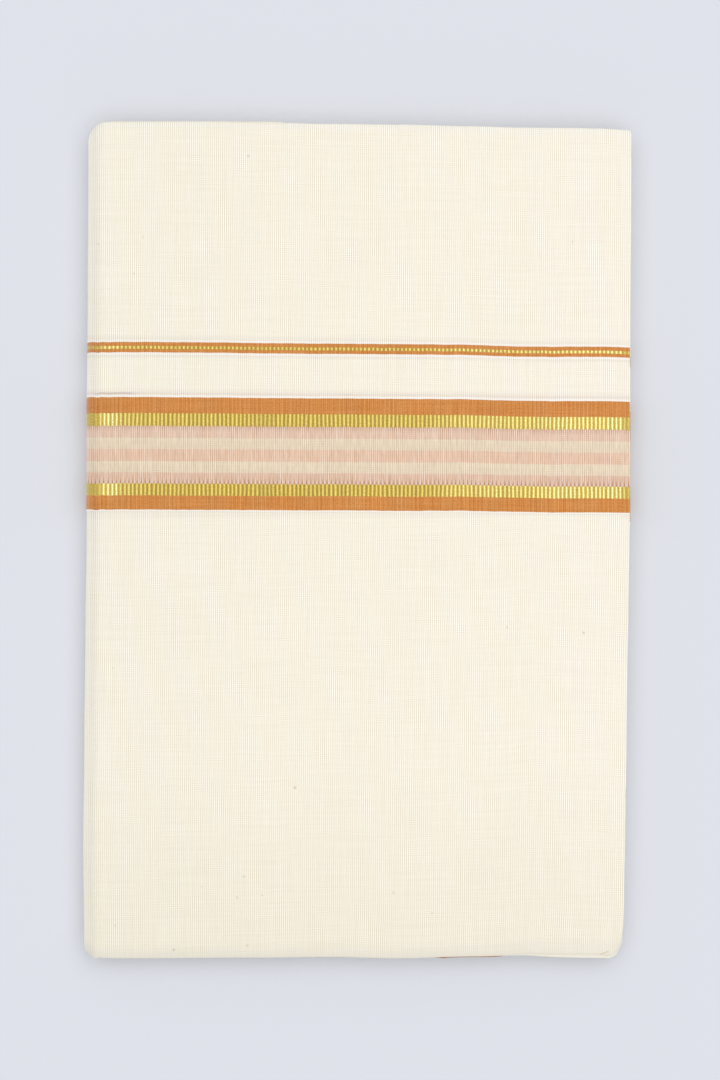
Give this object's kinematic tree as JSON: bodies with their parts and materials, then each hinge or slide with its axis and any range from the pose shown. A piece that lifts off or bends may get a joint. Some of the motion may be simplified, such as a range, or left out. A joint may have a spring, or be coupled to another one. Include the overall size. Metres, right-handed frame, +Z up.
{
  "type": "folded dhoti cloth",
  "caption": "Cream cotton dhoti with an orange, gold and pink woven border, pressed into a flat shop fold with a round spine and layered edges.",
  "frame": {"origin": "middle of the fold's box, on the surface that it lies on", "axes": "+X across the fold from the round spine to the open side, +Y up along the fold to the top edge that is nearer the border, +Z up out of the surface"},
  "size_m": [0.2336, 0.3561, 0.016],
  "materials": {
    "border_cloth": "plain woven unbleached cotton with an orange, gold and pale pink border in it",
    "plain_cloth": "plain woven unbleached cotton, matt, lightly slubbed",
    "layered_cloth": "plain woven unbleached cotton, seen at its folded edges"
  },
  "bodies": {
    "root": {"border_leaf": "border_cloth", "plain_leaf": "plain_cloth", "hidden_layers": "layered_cloth"}
  },
  "joints": []
}
